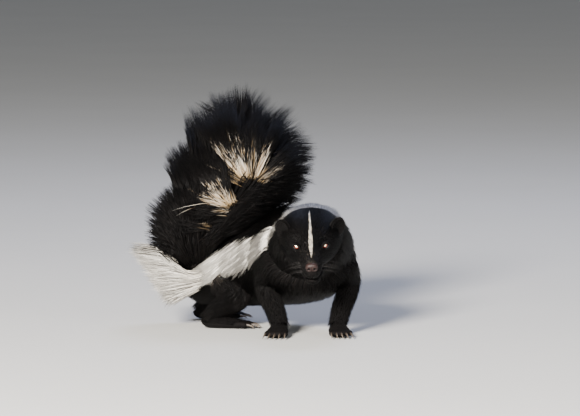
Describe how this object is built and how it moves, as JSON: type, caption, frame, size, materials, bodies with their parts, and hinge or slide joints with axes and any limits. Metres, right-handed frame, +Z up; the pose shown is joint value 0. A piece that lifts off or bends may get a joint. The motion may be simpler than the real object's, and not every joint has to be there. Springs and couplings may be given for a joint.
{
  "type": "striped skunk",
  "caption": "Life-size striped skunk in its threat stance, head low, trunk bent and bushy tail raised over the back, resting on its paws.",
  "frame": {"origin": "on the floor under the middle of the whole animal's box", "axes": "+Z up; the head faces -Y, and the animal's right side is towards -X, where its rump points"},
  "size_m": [0.3008, 0.3048, 0.3049],
  "materials": {
    "black_fur": "long coarse black hair with a soft sheen",
    "white_fur": "long creamy white hair",
    "nose_skin": "moist pebbled skin",
    "eye": "wet gloss",
    "paw": "short fur over bare pads, with horn claws"
  },
  "bodies": {
    "root": {"head": "black_fur", "lower_jaw": "black_fur", "nose": "nose_skin", "eye_left": "eye", "eye_right": "eye", "ear_left": "black_fur", "ear_right": "black_fur", "neck": "white_fur", "torso_front": "black_fur", "torso_rear": "black_fur", "foreleg_left": "black_fur", "foreleg_right": "black_fur", "forepaw_left": "paw", "forepaw_right": "paw", "hindleg_left": "black_fur", "hindleg_right": "black_fur", "hindpaw_left": "paw", "hindpaw_right": "paw", "tail_base": "black_fur", "tail_middle": "black_fur", "tail_end": "black_fur"}
  },
  "joints": []
}
